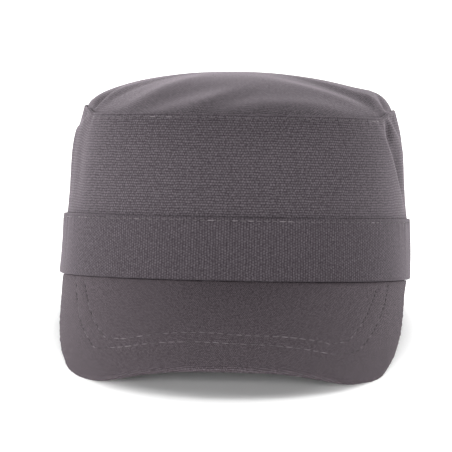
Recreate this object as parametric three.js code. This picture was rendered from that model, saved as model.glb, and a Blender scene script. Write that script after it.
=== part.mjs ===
// A soft army-style cap of plain grey cotton: a domed oval top panel, a front and a back crown panel,
// a wide folded band and a curved, cloth-covered peak. It lies on a surface as it does by itself, on
// the back of the band and the two front corners of the peak.
//
// Millimetres, +Z up, the peak towards -Y. Every piece is worked out in the frame of the rim, the flat
// lower edge of the band, and the whole cap is then tilted back until it rests.
import * as THREE from "three";
import { mergeVertices } from "three/addons/utils/BufferGeometryUtils.js";

// The band round the head, outside sizes at the rim.
const BAND_WIDTH = 176;
const BAND_DEPTH = 198;
const BAND_HEIGHT = 30;
const BAND_LEAN = 1.2; // how far the band leans in at its upper edge
const BAND_SQUARENESS = 2.12; // 2 is an ellipse, more is squarer

// The crown over the band.
const CROWN_HEIGHT = 48.8; // front panel, from the band to the top seam
const CROWN_BULGE = 2; // how far the panels swell out of a straight taper
const BULGE_SHIFT = 1.8; // over 1 puts the widest place above the panels' middle
const TOP_WIDTH = 155; // across the top seam
const TOP_DEPTH = 175;
const TOP_SQUARENESS = 2.4;
const TOP_SHIFT = 0.5; // how far the top seam sits to the wearer's left
const DOME_HEIGHT = 19.3; // the top panel's rise over its seam
const DOME_FULLNESS = 0.63; // under 1 is fuller at the edge, at the sides and the back
const FRONT_FULLNESS = 0.95; // the same in front, where the dome is flatter
const DOME_BASE = 0.6; // the share of SEAM_RISE from which the middle of the dome rises
const SEAM_RISE = 7; // how much higher the top seam is at the back than at the front
const SIDE_SEAM_ANGLE = 100; // degrees from the front, where front and back panel meet

// The peak.
const PEAK_LENGTH = 49.6; // how far it stands out in front of the band, measured level with the rim
const PEAK_NARROWING = 2.8; // the peak's half width is this much under the band's
const PEAK_SLOPE = 37; // degrees down from the plane of the rim
const PEAK_THICKNESS = 3.2; // two cloths and the board between them
const PEAK_EDGE_ROUNDING = 0.8; // how far each face draws in at the sewn edge
const PEAK_SETBACK = 1.3; // the band overhangs the peak's root by this

// Cloth and sewing.
const CLOTH = 1.3; // one cloth wall with its turned edges
const CLEARANCE = 0.3; // between two pieces that are sewn together
const BAND_LAP = 6; // the band covers this much of the crown panels
const SEAM_ALLOWANCE = 7; // the top panel's edge, turned down inside the crown panels
const TOP_SEAT = 0.4; // the top panel starts this far below the panels' upper edge
const REST_PRESS = 0.6; // how much the cloth gives where it rests

// The depth of the folds and dents that the tables below give as shares, and where they fade out:
// on the crown panels as shares of their height, on the top panel near its seam.
const FOLD_DEPTH = 4;
const FOLDS_FROM = 0.12;
const FOLDS_TO = 0.93;
const EDGE_SHARPNESS = 24;
const FULLER_FROM = 35; // degrees from the front, between which the dome's front goes over into its sides
const FULLER_TO = 75;

// How fine the faces are. All pieces of the crown share their columns, so that they nest evenly.
const COLUMN_ANGLE = 10 / 3;
const PEAK_COLUMNS = 40;
const CROWN_ROWS = 8;
const DOME_ROWS = 8;
const PEAK_ROWS = 8;
const DOME_ROW_SPACING = 1.6; // over 1 sets the rows closer together at the seam
const PEAK_ROW_SPACING = 1.5; // over 1 sets the rows closer together at the edge
const TILT_STEPS = 40; // halvings in the search for the tilt at which the cap rests

// The top seam, from the front round to the back: the share of SEAM_RISE that it has climbed.
// It runs level across the front and turns up sharply at the front corners.
const TOP_SEAM = [
  { angle: 0, risen: 0 },
  { angle: 40, risen: 0.02 },
  { angle: 56, risen: 0.06 },
  { angle: 67, risen: 0.5 },
  { angle: 85, risen: 0.78 },
  { angle: 130, risen: 0.95 },
  { angle: 180, risen: 1 },
];

// Folds of the crown panels. angle is from the front, towards the wearer's left where it is positive;
// up and long are shares of the panel's height, wide too; lean is degrees from upright; raise is a
// share of FOLD_DEPTH, and a dent where it is negative; steep is how much narrower the fold is on its
// right than on its left, as a share.
const CROWN_FOLDS = [
  { angle: 62, up: 0.82, lean: -16, long: 0.13, wide: 0.075, raise: -0.5, steep: 0 },
  { angle: 72, up: 0.86, lean: -62, long: 0.3, wide: 0.08, raise: -0.5, steep: -0.5 },
  { angle: 68, up: 0.5, lean: -42, long: 0.36, wide: 0.1, raise: -0.75, steep: -0.5 },
  { angle: 96, up: 0.55, lean: -8, long: 0.5, wide: 0.24, raise: -0.3, steep: 0 },
  { angle: -72, up: 0.9, lean: 74, long: 0.34, wide: 0.1, raise: -0.5, steep: 0.5 },
  { angle: -76, up: 0.55, lean: 2, long: 0.4, wide: 0.11, raise: 0.25, steep: 0 },
  { angle: -62, up: 0.5, lean: 6, long: 0.45, wide: 0.16, raise: -0.2, steep: 0 },
  { angle: 18, up: 0.45, lean: 70, long: 0.8, wide: 0.25, raise: -0.12, steep: 0 },
  { angle: 150, up: 0.55, lean: 18, long: 0.5, wide: 0.2, raise: -0.3, steep: 0 },
  { angle: -140, up: 0.6, lean: -14, long: 0.5, wide: 0.2, raise: -0.3, steep: 0 },
];

// Folds of the top panel. across and back are shares of its half width and half depth, from its
// middle; turn is degrees from straight back, towards the wearer's left; long and wide are shares of
// its half width; raise is a share of FOLD_DEPTH; steep is as for the crown panels. The first rows are
// the tucks at the front corners.
const TOP_FOLDS = [
  { across: -0.84, back: -0.46, turn: 31, long: 0.15, wide: 0.05, raise: 0.2, steep: 0 },
  { across: -0.895, back: -0.39, turn: 31, long: 0.17, wide: 0.055, raise: -1.25, steep: 0.5 },
  { across: 0.86, back: -0.42, turn: -12, long: 0.2, wide: 0.055, raise: 0.3, steep: 0 },
  { across: 0.945, back: -0.33, turn: -14, long: 0.17, wide: 0.055, raise: -1.2, steep: -0.5 },
  { across: 0.92, back: -0.12, turn: 0, long: 0.26, wide: 0.12, raise: 0.65, steep: 0 },
  { across: -0.5, back: -0.58, turn: 44, long: 0.34, wide: 0.1, raise: 0.3, steep: 0 },
  { across: -0.36, back: -0.74, turn: 58, long: 0.3, wide: 0.11, raise: -0.28, steep: 0 },
  { across: -0.16, back: -0.84, turn: 42, long: 0.17, wide: 0.08, raise: 0.22, steep: 0 },
  { across: 0.02, back: -0.8, turn: 46, long: 0.2, wide: 0.1, raise: -0.2, steep: 0 },
  { across: 0.34, back: -0.84, turn: 72, long: 0.36, wide: 0.1, raise: 0.22, steep: 0 },
  { across: 0.62, back: -0.52, turn: -80, long: 0.3, wide: 0.11, raise: 0.22, steep: 0 },
  { across: 0.5, back: -0.34, turn: -72, long: 0.34, wide: 0.14, raise: -0.22, steep: 0 },
  { across: -0.1, back: 0.4, turn: 70, long: 0.6, wide: 0.2, raise: -0.25, steep: 0 },
  { across: 0.35, back: 0.6, turn: -60, long: 0.4, wide: 0.16, raise: 0.22, steep: 0 },
];

// The peak's outline, from its root at one side to its middle in front: across is a share of its half
// width, reach a share of the way from the root's end to the front.
const PEAK_OUTLINE = [
  { across: 1, reach: 0 },
  { across: 0.988, reach: 0.12 },
  { across: 0.979, reach: 0.235 },
  { across: 0.966, reach: 0.348 },
  { across: 0.938, reach: 0.489 },
  { across: 0.899, reach: 0.612 },
  { across: 0.846, reach: 0.727 },
  { across: 0.768, reach: 0.815 },
  { across: 0.648, reach: 0.9 },
  { across: 0.47, reach: 0.952 },
  { across: 0.216, reach: 0.989 },
  { across: 0, reach: 1 },
];

const DEGREE = Math.PI / 180;
const { lerp, smoothstep } = THREE.MathUtils;

// A point on a rounded oval, in the direction that an angle from the front gives.
function oval(halfWidth, halfDepth, squareness, angle) {
  const across = Math.sin(angle * DEGREE);
  const back = -Math.cos(angle * DEGREE);
  const size = Math.abs(across / halfWidth) ** squareness + Math.abs(back / halfDepth) ** squareness;
  return new THREE.Vector2(across, back).divideScalar(size ** (1 / squareness));
}

// The sum of a table's folds at one place. Each is a soft ridge or valley: offset(fold) gives the
// place's distance from its middle, in the same unit as its long and wide.
function folds(table, offset) {
  let sum = 0;
  for (const fold of table) {
    const { right, up, turn } = offset(fold);
    const along = up * Math.cos(turn * DEGREE) + right * Math.sin(turn * DEGREE);
    const aside = right * Math.cos(turn * DEGREE) - up * Math.sin(turn * DEGREE);
    const wide = fold.wide * (1 - fold.steep * Math.sign(aside));
    sum += fold.raise * Math.exp(-((along / fold.long) ** 2) - (aside / wide) ** 2);
  }
  return sum * FOLD_DEPTH;
}

// A closed wall between two faces. at(u, v, side) gives a point of the outer face (side 0) or the
// inner one (side 1); u runs to the right seen from outside, v runs up, and wraps joins the ends.
function wall(columns, rows, wraps, at) {
  const positions = [];
  for (const side of [0, 1])
    for (let j = 0; j <= rows; j++)
      for (let i = 0; i <= columns; i++) {
        const u = wraps && i === columns ? 0 : i / columns;
        positions.push(...at(u, j / rows, side).toArray());
      }
  const point = (side, j, i) => (side * (rows + 1) + j) * (columns + 1) + i;
  const indices = [];
  const quad = (a, b, c, d) => indices.push(a, b, c, a, c, d);
  for (let j = 0; j < rows; j++)
    for (let i = 0; i < columns; i++) {
      quad(point(0, j, i), point(0, j, i + 1), point(0, j + 1, i + 1), point(0, j + 1, i));
      quad(point(1, j, i), point(1, j + 1, i), point(1, j + 1, i + 1), point(1, j, i + 1));
    }
  for (let i = 0; i < columns; i++) {
    quad(point(1, 0, i), point(1, 0, i + 1), point(0, 0, i + 1), point(0, 0, i));
    quad(point(0, rows, i), point(0, rows, i + 1), point(1, rows, i + 1), point(1, rows, i));
  }
  if (!wraps)
    for (let j = 0; j < rows; j++) {
      quad(point(1, j, 0), point(0, j, 0), point(0, j + 1, 0), point(1, j + 1, 0));
      quad(point(0, j, columns), point(1, j, columns), point(1, j + 1, columns), point(0, j + 1, columns));
    }
  const geometry = new THREE.BufferGeometry();
  geometry.setAttribute("position", new THREE.Float32BufferAttribute(positions, 3));
  geometry.setIndex(indices);
  return withoutSlivers(mergeVertices(geometry));
}

// Triangles whose corners fell together, as at the middle of the top panel, are taken out.
function withoutSlivers(geometry) {
  const kept = [];
  const { array } = geometry.index;
  for (let i = 0; i < array.length; i += 3) {
    const [a, b, c] = array.slice(i, i + 3);
    if (a !== b && b !== c && c !== a) kept.push(a, b, c);
  }
  geometry.setIndex(kept);
  geometry.computeVertexNormals();
  return geometry;
}

// How far an angle is from the front, whichever way round.
const turned = (angle) => Math.abs(THREE.MathUtils.euclideanModulo(angle + 180, 360) - 180);

// The value of a table's column at an angle from the front, eased from row to row.
function eased(table, column, angle) {
  const turn = turned(angle);
  const next = Math.max(1, table.findIndex((row) => row.angle >= turn));
  const [from, to] = [table[next - 1], table[next]];
  return lerp(from[column], to[column], smoothstep(turn, from.angle, to.angle));
}

const seamHeight = (angle) => BAND_HEIGHT + CROWN_HEIGHT + SEAM_RISE * eased(TOP_SEAM, "risen", angle);

// The band's outer face, and how thick it is: a doubled cloth, with a single one over the lap.
const BAND_ROWS = [
  { height: 0, layers: 2 },
  { height: 0.12, layers: 2 },
  { height: 0.45, layers: 2 },
  { height: 1 - BAND_LAP / BAND_HEIGHT, layers: 2 },
  { height: 1 - BAND_LAP / BAND_HEIGHT, layers: 1 },
  { height: 1, layers: 1 },
];

function bandPoint(angle, share, inset) {
  const shrink = inset + BAND_LEAN * share;
  const place = oval(BAND_WIDTH / 2 - shrink, BAND_DEPTH / 2 - shrink, BAND_SQUARENESS, angle);
  return new THREE.Vector3(place.x, place.y, BAND_HEIGHT * share);
}

function band() {
  return wall(360 / COLUMN_ANGLE, BAND_ROWS.length - 1, true, (u, v, side) => {
    const { height, layers } = BAND_ROWS[Math.round(v * (BAND_ROWS.length - 1))];
    const thickness = layers * CLOTH + (layers - 1) * CLEARANCE;
    return bandPoint(360 * u, height, side * thickness);
  });
}

// The crown panels' outer face. share runs from the edge under the band, 0, to the top seam, 1.
const CROWN_FOOT = BAND_HEIGHT - BAND_LAP + CLEARANCE;

function crownPoint(angle, share, inset) {
  const height = lerp(CROWN_FOOT, seamHeight(angle), share);
  const free = Math.max(0, (height - BAND_HEIGHT) / (seamHeight(angle) - BAND_HEIGHT));
  const foot = bandPoint(angle, Math.min(1, height / BAND_HEIGHT), CLOTH + CLEARANCE + inset);
  const top = oval(TOP_WIDTH / 2 - inset, TOP_DEPTH / 2 - inset, TOP_SQUARENESS, angle);
  const swell = CROWN_BULGE * Math.sin(Math.PI * free ** BULGE_SHIFT);
  const fade = smoothstep(free, 0, FOLDS_FROM) * (1 - smoothstep(free, FOLDS_TO, 1));
  const panelHeight = CROWN_HEIGHT + SEAM_RISE / 2;
  const relief = folds(CROWN_FOLDS, (fold) => {
    const apart = THREE.MathUtils.euclideanModulo(angle - fold.angle + 180, 360) - 180;
    const arc = (apart * DEGREE * (BAND_WIDTH + BAND_DEPTH)) / 4;
    return { right: arc / panelHeight, up: free - fold.up, turn: fold.lean };
  });
  top.x += TOP_SHIFT;
  const place = new THREE.Vector2(foot.x, foot.y).lerp(top, free);
  place.setLength(place.length() + swell + relief * fade);
  return new THREE.Vector3(place.x, place.y, height);
}

// Where the turned-down edge of the top panel ends, as a share of the crown panel's height.
const allowanceEnd = (angle) => 1 - (TOP_SEAT + SEAM_ALLOWANCE) / (seamHeight(angle) - CROWN_FOOT);

function crownPanel(from, to) {
  const gap = CLEARANCE / 2 / (DEGREE * (TOP_WIDTH / 2));
  const columns = Math.round((to - from) / COLUMN_ANGLE);
  return wall(columns, CROWN_ROWS, false, (u, v, side) => {
    const angle = lerp(from + gap, to - gap, u);
    const share = v === 1 ? 1 : ((v * CROWN_ROWS) / (CROWN_ROWS - 1)) * allowanceEnd(angle);
    return crownPoint(angle, share, side * CLOTH);
  });
}

// The top panel's face: below the seam it follows the crown panels down inside, over it the dome.
// radius is 1 at the seam and 0 in the middle.
const DOME_FOOT = BAND_HEIGHT + CROWN_HEIGHT + SEAM_RISE * DOME_BASE;

function domePoint(angle, radius, inset) {
  const rim = crownPoint(angle, 1, CLOTH + CLEARANCE + inset);
  const across = rim.x * radius;
  const back = rim.y * radius;
  const fullness = lerp(FRONT_FULLNESS, DOME_FULLNESS, smoothstep(turned(angle), FULLER_FROM, FULLER_TO));
  const rise = DOME_HEIGHT * (1 - radius ** 2) ** fullness;
  const base = lerp(DOME_FOOT, rim.z, radius ** 2) - TOP_SEAT * radius ** EDGE_SHARPNESS;
  const relief = folds(TOP_FOLDS, (fold) => ({
    right: across / (TOP_WIDTH / 2) - fold.across,
    up: (back / (TOP_DEPTH / 2) - fold.back) * (TOP_DEPTH / TOP_WIDTH),
    turn: fold.turn,
  }));
  return new THREE.Vector3(across, back, base + rise + relief * (1 - radius ** EDGE_SHARPNESS) - inset);
}

function crownTop() {
  const rows = DOME_ROWS + 1;
  return wall(360 / COLUMN_ANGLE, rows, true, (u, v, side) => {
    const angle = 360 * u;
    if (v > 0) {
      const inward = (v * rows - 1) / DOME_ROWS;
      return domePoint(angle, 1 - inward ** DOME_ROW_SPACING, side * CLOTH);
    }
    return crownPoint(angle, allowanceEnd(angle), (1 + side) * CLOTH + CLEARANCE);
  });
}

// The peak is a flat board bent round the rim's own curve: straight lines run down it at PEAK_SLOPE.
const ROOT_WIDTH = BAND_WIDTH / 2 - PEAK_SETBACK;
const ROOT_DEPTH = BAND_DEPTH / 2 - PEAK_SETBACK;
const PEAK_HALF_WIDTH = BAND_WIDTH / 2 - PEAK_NARROWING;

// How far back the root lies at a place across it.
const rootLine = (x) =>
  -ROOT_DEPTH * (1 - (Math.abs(x) / ROOT_WIDTH) ** BAND_SQUARENESS) ** (1 / BAND_SQUARENESS);

const peakDrop = (x, y) => Math.tan(PEAK_SLOPE * DEGREE) * (y - rootLine(x));

function peakOutline() {
  const rootEnd = rootLine(PEAK_OUTLINE[0].across * PEAK_HALF_WIDTH);
  const front = -ROOT_DEPTH - PEAK_SETBACK - PEAK_LENGTH;
  const half = PEAK_OUTLINE.map(
    ({ across, reach }) => new THREE.Vector2(-across * PEAK_HALF_WIDTH, lerp(rootEnd, front, reach)),
  );
  const mirrored = half.slice(0, -1).reverse().map((place) => new THREE.Vector2(-place.x, place.y));
  return new THREE.SplineCurve([...half, ...mirrored]);
}

function peak() {
  const outline = peakOutline();
  const end = outline.getPoint(1);
  const rootAngle = Math.atan2(end.x, -end.y) / DEGREE;
  const step = 0.01;
  return wall(PEAK_COLUMNS, PEAK_ROWS, false, (u, v, side) => {
    const edge = outline.getPointAt(u);
    const root = oval(ROOT_WIDTH, ROOT_DEPTH, BAND_SQUARENESS, lerp(-rootAngle, rootAngle, u));
    // v runs up, from the front edge, 0, to the root, 1.
    const place = edge.clone().lerp(root, v ** PEAK_ROW_SPACING);
    const acrossSlope = (peakDrop(place.x + step, place.y) - peakDrop(place.x - step, place.y)) / (2 * step);
    const normal = new THREE.Vector3(-acrossSlope, -Math.tan(PEAK_SLOPE * DEGREE), 1).normalize();
    const drawnIn = v === 0 ? PEAK_EDGE_ROUNDING : 0;
    const depth = side ? PEAK_THICKNESS - drawnIn : drawnIn;
    const onTop = new THREE.Vector3(place.x, place.y, peakDrop(place.x, place.y) - CLEARANCE);
    return onTop.addScaledVector(normal, -depth);
  });
}

// Puts a group's pieces on the surface at z = 0: tilts it back until the band and the peak are level
// at their lowest, and flattens the cloth that is pressed there.
function layDown(group, rim, brim) {
  const lowest = (mesh, tilt) => {
    const { position } = mesh.geometry.attributes;
    let least = Infinity;
    for (let i = 0; i < position.count; i++)
      least = Math.min(least, position.getY(i) * Math.sin(tilt) + position.getZ(i) * Math.cos(tilt));
    return least;
  };
  let [flat, steep] = [-Math.PI / 4, 0];
  for (let i = 0; i < TILT_STEPS; i++) {
    const middle = (flat + steep) / 2;
    if (lowest(rim, middle) < lowest(brim, middle)) flat = middle;
    else steep = middle;
  }
  const tilt = flat;
  const floor = lowest(rim, tilt) + REST_PRESS;
  const up = new THREE.Vector3(0, Math.sin(tilt), Math.cos(tilt));
  const point = new THREE.Vector3();
  for (const mesh of [rim, brim]) {
    const { position } = mesh.geometry.attributes;
    for (let i = 0; i < position.count; i++) {
      point.fromBufferAttribute(position, i);
      point.addScaledVector(up, Math.max(0, floor - point.dot(up)));
      position.setXYZ(i, ...point.toArray());
    }
    mesh.geometry.computeVertexNormals();
  }
  group.rotation.x = tilt;
  group.position.z = -floor;
  const box = new THREE.Box3().setFromObject(group, true);
  group.position.y = -(box.min.y + box.max.y) / 2;
  group.position.x = -(box.min.x + box.max.x) / 2;
}

const grey = (colour, roughness) => new THREE.MeshStandardMaterial({ color: colour, roughness, metalness: 0 });

function piece(name, geometry, material) {
  const mesh = new THREE.Mesh(geometry, material);
  mesh.name = name;
  return mesh;
}

const crownCloth = grey(0x6b6469, 0.92);
const bandCloth = grey(0x676065, 0.92);
const peakCloth = grey(0x696267, 0.88);

const bandMesh = piece("band", band(), bandCloth);
const peakMesh = piece("peak", peak(), peakCloth);
const worn = new THREE.Group();
worn.add(
  bandMesh,
  peakMesh,
  piece("crown_front", crownPanel(-SIDE_SEAM_ANGLE, SIDE_SEAM_ANGLE), crownCloth),
  piece("crown_back", crownPanel(SIDE_SEAM_ANGLE, 360 - SIDE_SEAM_ANGLE), crownCloth),
  piece("crown_top", crownTop(), crownCloth),
);
layDown(worn, bandMesh, peakMesh);

const cap = new THREE.Group();
cap.add(worn);
export default cap;
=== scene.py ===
# A soft army-style cap of plain grey cotton, modelled as it is sewn and laid down over its CAD frame.
import math

import bmesh
import bpy
from mathutils import Matrix, Vector, noise


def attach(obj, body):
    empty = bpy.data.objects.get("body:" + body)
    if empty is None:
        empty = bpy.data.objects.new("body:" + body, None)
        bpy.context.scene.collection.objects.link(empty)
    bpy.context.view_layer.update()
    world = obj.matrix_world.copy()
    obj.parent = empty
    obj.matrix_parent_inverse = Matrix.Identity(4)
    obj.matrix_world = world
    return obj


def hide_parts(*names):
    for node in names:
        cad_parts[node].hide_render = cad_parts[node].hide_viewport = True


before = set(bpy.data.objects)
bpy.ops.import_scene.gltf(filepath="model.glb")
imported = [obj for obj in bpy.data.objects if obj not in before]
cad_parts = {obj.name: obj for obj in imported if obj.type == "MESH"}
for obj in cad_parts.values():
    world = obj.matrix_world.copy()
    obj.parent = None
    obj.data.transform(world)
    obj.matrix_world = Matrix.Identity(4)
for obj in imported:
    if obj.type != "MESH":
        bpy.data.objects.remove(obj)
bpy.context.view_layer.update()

# The camera: a long lens well back in front, a little above the cap and a little to its side, and
# rolled by less than a degree, as in the photograph.
CAMERA_AIM = Vector((-0.0045, 0, 0.0501))
CAMERA_DISTANCE = 1.5
CAMERA_ABOVE = math.radians(12.43)
CAMERA_ASIDE = math.radians(1.93)
CAMERA_ROLL = math.radians(0.67)
CAMERA_LENS = 242.3
FILM_WIDTH = 36

camera = bpy.data.objects.new("camera", bpy.data.cameras.new("camera"))
bpy.context.scene.collection.objects.link(camera)
bpy.context.scene.camera = camera
camera.data.lens = CAMERA_LENS
camera.data.sensor_width = FILM_WIDTH
towards = Vector((
    math.sin(CAMERA_ASIDE) * math.cos(CAMERA_ABOVE),
    -math.cos(CAMERA_ASIDE) * math.cos(CAMERA_ABOVE),
    math.sin(CAMERA_ABOVE),
))
level = Vector((math.cos(CAMERA_ASIDE), math.sin(CAMERA_ASIDE), 0))
upright = towards.cross(level)
rightwards = level * math.cos(CAMERA_ROLL) + upright * math.sin(CAMERA_ROLL)
upwards = upright * math.cos(CAMERA_ROLL) - level * math.sin(CAMERA_ROLL)
facing = Matrix((rightwards, upwards, towards)).transposed().to_4x4()
camera.matrix_world = Matrix.Translation(CAMERA_AIM + towards * CAMERA_DISTANCE) @ facing

# The studio: a white floor that runs back to a bright white backdrop, which gives most of the light,
# a large soft lamp low in front, and smaller ones at the left and behind on the right. The floor has a
# painted glow: it shines by itself all round the cap, which paints out the shadows there, but not near or
# under it.
STAGE_SIZE = 6
BACKDROP_BEHIND = 1.6
BACKDROP_GLOW = 3.0
AIR_GLOW = 0.06
WHITE = (1, 1, 1, 1)
FLOOR_PAINT = (0.96, 0.96, 0.96, 1)
# How brightly the floor's painted glow shines away from the cap.
PAINTED_FLOOR_GLOW = 0.45
# How near a spot of the floor is to the middle is 1 less its distance, in metres, times this scale.
NEARNESS_SCALE = (5.8, 3.45, 1)
NO_GLOW_FROM = 0.56
FULL_GLOW_BELOW = 0.42

bpy.context.scene.view_settings.view_transform = "Standard"


def shader_node(tree, kind, sockets=None, **settings):
    """Adds one node: settings are its own, sockets are its inputs, as values or as links."""
    made = tree.nodes.new(kind)
    for key, value in settings.items():
        setattr(made, key, value)
    for socket, value in (sockets or {}).items():
        if isinstance(value, bpy.types.NodeSocket):
            tree.links.new(value, made.inputs[socket])
        else:
            made.inputs[socket].default_value = value
    return made


def empty_material(name):
    material = bpy.data.materials.new(name)
    material.use_nodes = True
    material.node_tree.nodes.clear()
    return material, material.node_tree


def mesh_object(bm, name, material):
    mesh = bpy.data.meshes.new(name)
    bm.to_mesh(mesh)
    bm.free()
    mesh.materials.append(material)
    made = bpy.data.objects.new(name, mesh)
    bpy.context.scene.collection.objects.link(made)
    return made


def stage_sheet(name, behind, turn, material):
    """A flat piece of the studio, which is no part of the cap."""
    bm = bmesh.new()
    bmesh.ops.create_grid(bm, x_segments=1, y_segments=1, size=STAGE_SIZE / 2)
    placed = Matrix.Translation((0, behind, 0)) @ Matrix.Rotation(turn, 4, "X")
    bmesh.ops.transform(bm, matrix=placed, verts=bm.verts)
    sheet = mesh_object(bm, name, material)


# White paint, matt, with a painted glow that shines away from the cap and paints out its shadows there,
# leaving a soft edge of shade round the cap.
white_floor_with_painted_glow, tree = empty_material("white studio paint with painted glow")
painted = shader_node(tree, "ShaderNodeBsdfDiffuse", {"Color": FLOOR_PAINT})
across_floor = shader_node(tree, "ShaderNodeTexCoord").outputs["Object"]
round_cap = shader_node(
    tree, "ShaderNodeMapping", {"Vector": across_floor, "Scale": NEARNESS_SCALE},
).outputs[0]
nearness = shader_node(
    tree, "ShaderNodeTexGradient", {"Vector": round_cap}, gradient_type="SPHERICAL",
).outputs["Fac"]
painted_floor_glow = shader_node(
    tree, "ShaderNodeMapRange",
    {
        "Value": nearness, "From Min": FULL_GLOW_BELOW, "From Max": NO_GLOW_FROM,
        "To Min": PAINTED_FLOOR_GLOW, "To Max": 0,
    },
    interpolation_type="SMOOTHSTEP",
).outputs[0]
# Painted glow: the floor shines by itself away from the cap, so no shadow shows there.
painted_glow = shader_node(tree, "ShaderNodeEmission", {"Color": WHITE, "Strength": painted_floor_glow})
floor_paint_and_painted_glow = shader_node(tree, "ShaderNodeAddShader", {0: painted.outputs[0], 1: painted_glow.outputs[0]})
shader_node(tree, "ShaderNodeOutputMaterial", {"Surface": floor_paint_and_painted_glow.outputs[0]})

# White paper, lit from behind: an even glow with no edge.
lit_paper, tree = empty_material("lit backdrop paper")
paper_glow = shader_node(tree, "ShaderNodeEmission", {"Color": WHITE, "Strength": BACKDROP_GLOW})
shader_node(tree, "ShaderNodeOutputMaterial", {"Surface": paper_glow.outputs[0]})

stage_sheet("floor", 0, 0, white_floor_with_painted_glow)
stage_sheet("backdrop", BACKDROP_BEHIND, math.pi / 2, lit_paper)

world = bpy.data.worlds.new("studio air")
bpy.context.scene.world = world
world.use_nodes = True
world.node_tree.nodes["Background"].inputs["Color"].default_value = WHITE
world.node_tree.nodes["Background"].inputs["Strength"].default_value = AIR_GLOW

# Each softbox stands at a place in metres, and faces the cap.
LAMPS = {
    "front softbox": {"place": (0.0, -1.9, 0.32), "size": 1.2, "watts": 40},
    "left front softbox": {"place": (-1.0, -1.2, 0.35), "size": 0.7, "watts": 3.5},
    "left softbox": {"place": (-1.3, 0.15, 0.22), "size": 0.6, "watts": 16.5},
    "right softbox": {"place": (1.0, 0.5, 0.4), "size": 0.9, "watts": 10},
}
for lamp_name, lamp in LAMPS.items():
    light = bpy.data.lights.new(lamp_name, "AREA")
    light.size = lamp["size"]
    light.energy = lamp["watts"]
    softbox = bpy.data.objects.new(lamp_name, light)
    bpy.context.scene.collection.objects.link(softbox)
    softbox.location = lamp["place"]
    softbox.rotation_euler = (-Vector(lamp["place"])).to_track_quat("-Z", "Y").to_euler()

# The crown panels: one piece of ribbed cotton round the front and one round the back, sewn together at
# the sides. Their upper edge turns in at the top seam, with a row of stitches close under it, and
# their lower edge is held inside the band.
# Sizes of the cap are millimetres in the frame of its rim, and angles are degrees from its front.
BAND_WIDTH = 176
BAND_DEPTH = 198
BAND_HEIGHT = 30
BAND_LEAN = 1.2
BAND_SQUARENESS = 2.12
CROWN_HEIGHT = 48.8
CROWN_BULGE = 2
BULGE_SHIFT = 1.8
TOP_WIDTH = 155
TOP_DEPTH = 175
TOP_SQUARENESS = 2.4
TOP_SHIFT = 0.5
SEAM_RISE = 7
SIDE_SEAM = 100
CLOTH = 1.3
CLEARANCE = 0.3
BAND_LAP = 6
FOLD_DEPTH = 4
FOLDS_FROM = 0.12
FOLDS_TO = 0.93
# The height of the top seam over its front: angle, and share of SEAM_RISE.
TOP_SEAM = [(0, 0), (40, 0.02), (56, 0.06), (67, 0.5), (85, 0.78), (130, 0.95), (180, 1)]
# Each fold: angle, height, lean, length, width, how far it stands out, and how much narrower it is on
# its right than on its left.
CROWN_FOLDS = [
    (62, 0.82, -16, 0.13, 0.075, -0.5, 0),
    (72, 0.86, -62, 0.3, 0.08, -0.5, -0.5),
    (68, 0.5, -42, 0.36, 0.1, -0.75, -0.5),
    (96, 0.55, -8, 0.5, 0.24, -0.3, 0),
    (-72, 0.9, 74, 0.34, 0.1, -0.5, 0.5),
    (-76, 0.55, 2, 0.4, 0.11, 0.25, 0),
    (-62, 0.5, 6, 0.45, 0.16, -0.2, 0),
    (18, 0.45, 70, 0.8, 0.25, -0.12, 0),
    (150, 0.55, 18, 0.5, 0.2, -0.3, 0),
    (-140, 0.6, -14, 0.5, 0.2, -0.3, 0),
]
# How the cap lies: on the back of its band and on the front corners of its peak.
REST_TILT = math.radians(-11.7386)
REST_SHIFT = 24.3708
REST_LIFT = 19.5413
GROOVE_WIDTH = 0.45
GROOVE_DEPTH = 0.16
SEAM_STITCHES_BELOW = 1.9
PUCKER_SPACING = 8.5
PUCKER_DEPTH = 0.14
PUCKERS_FROM = 0.3
PUCKERS_FULL = 2
SEAM_PUCKER_REACH = 5
SEAM_PUCKER_DRIFT = 7
SLACK_SPAN = 26
SLACK_DEPTH = 0.28
TAUT_AT_SEAM = 8

at_rest = Matrix.Translation((0, REST_SHIFT, REST_LIFT)) @ Matrix.Rotation(REST_TILT, 4, "X")


def laid_down(point):
    """A point of the rim's frame, in millimetres, where the cap lies on the floor, in metres. The floor
    presses the cloth flat where it would dip below."""
    placed = at_rest @ Vector(point)
    placed.z = max(placed.z, 0)
    return placed / 1000


def oval(half_width, half_depth, squareness, angle):
    """A point of an oval round the head; a squareness of 2 is a plain ellipse."""
    across = math.sin(math.radians(angle))
    back = -math.cos(math.radians(angle))
    size = abs(across / half_width) ** squareness + abs(back / half_depth) ** squareness
    return Vector((across, back)) / size ** (1 / squareness)


def smooth(value, start, end):
    share = min(1, max(0, (value - start) / (end - start)))
    return share * share * (3 - 2 * share)


def mix(start, end, share):
    return start + (end - start) * share


def turned(angle):
    """The same angle, within half a turn of the front."""
    return (angle + 180) % 360 - 180


def fold_height(right, up, turn, long, wide, raised, steep):
    """One soft ridge, or valley, at a place given from its middle."""
    along = up * math.cos(math.radians(turn)) + right * math.sin(math.radians(turn))
    aside = right * math.cos(math.radians(turn)) - up * math.sin(math.radians(turn))
    width = wide * (1 - steep * math.copysign(1, aside))
    return raised * math.exp(-((along / long) ** 2) - (aside / width) ** 2)


def groove(distance):
    """How far the cloth is drawn in by a row of stitches."""
    return -GROOVE_DEPTH * math.exp(-((distance / GROOVE_WIDTH) ** 2))


def slack(point):
    """The faint unevenness of any sewn cloth."""
    return SLACK_DEPTH * noise.noise(Vector(point) / SLACK_SPAN)


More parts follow.
